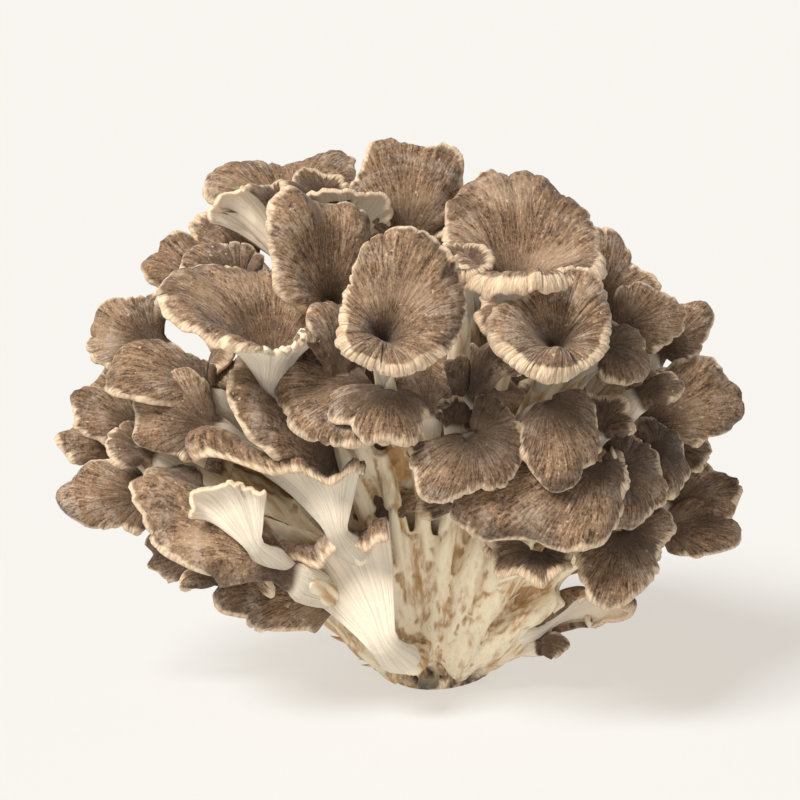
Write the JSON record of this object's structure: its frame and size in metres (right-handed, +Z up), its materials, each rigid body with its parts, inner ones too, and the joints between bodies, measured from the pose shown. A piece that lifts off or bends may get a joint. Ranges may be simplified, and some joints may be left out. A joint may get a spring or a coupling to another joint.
{
  "type": "maitake mushroom",
  "caption": "Branched cluster of thin wavy brown mushroom fronds on pale stalks that fuse into one short cut foot.",
  "frame": {"origin": "on the floor plane, in the cut face of the foot", "axes": "+Z up from the cut foot, +X to the right along the cluster's widest extent, -Y out of the side with the large open funnels"},
  "size_m": [0.197, 0.1609, 0.1571],
  "materials": {
    "frond_brown": "matt velvety brown with pale cream-tan margins",
    "stem_cream": "matt fibrous cream with ochre stains"
  },
  "bodies": {
    "root": {"maitake_cluster": "frond_brown"}
  },
  "joints": []
}
